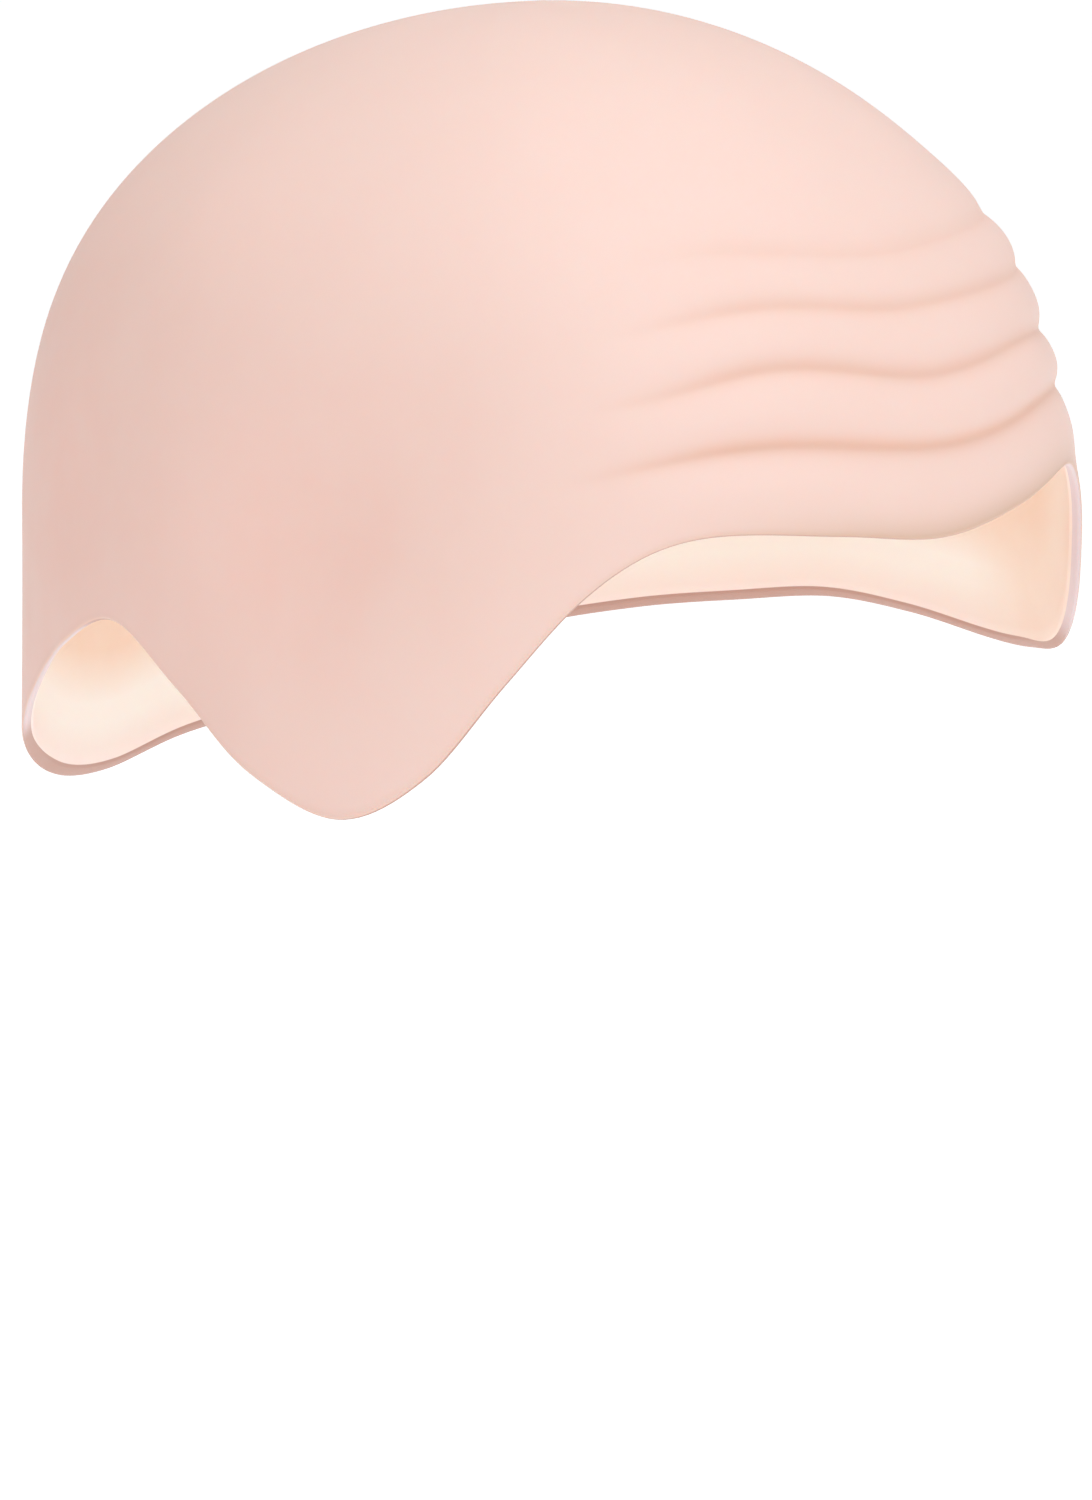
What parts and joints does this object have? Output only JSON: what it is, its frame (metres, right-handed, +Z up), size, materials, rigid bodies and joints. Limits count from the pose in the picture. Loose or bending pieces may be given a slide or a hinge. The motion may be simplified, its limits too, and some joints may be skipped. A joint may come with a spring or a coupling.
{
  "type": "bald cap",
  "caption": "Moulded latex bald cap with forehead folds, sideburn tabs and ear cut-outs, pulled over a head to hide the hair.",
  "frame": {"origin": "inside top of the crown, where the cap sits on a head", "axes": "+Z up out of the crown, -Y towards the forehead, -X towards the wearer's right ear"},
  "size_m": [0.1624, 0.2091, 0.1403],
  "materials": {
    "latex": "matte skin-coloured moulded latex"
  },
  "bodies": {
    "root": {"cap": "latex"}
  },
  "joints": []
}
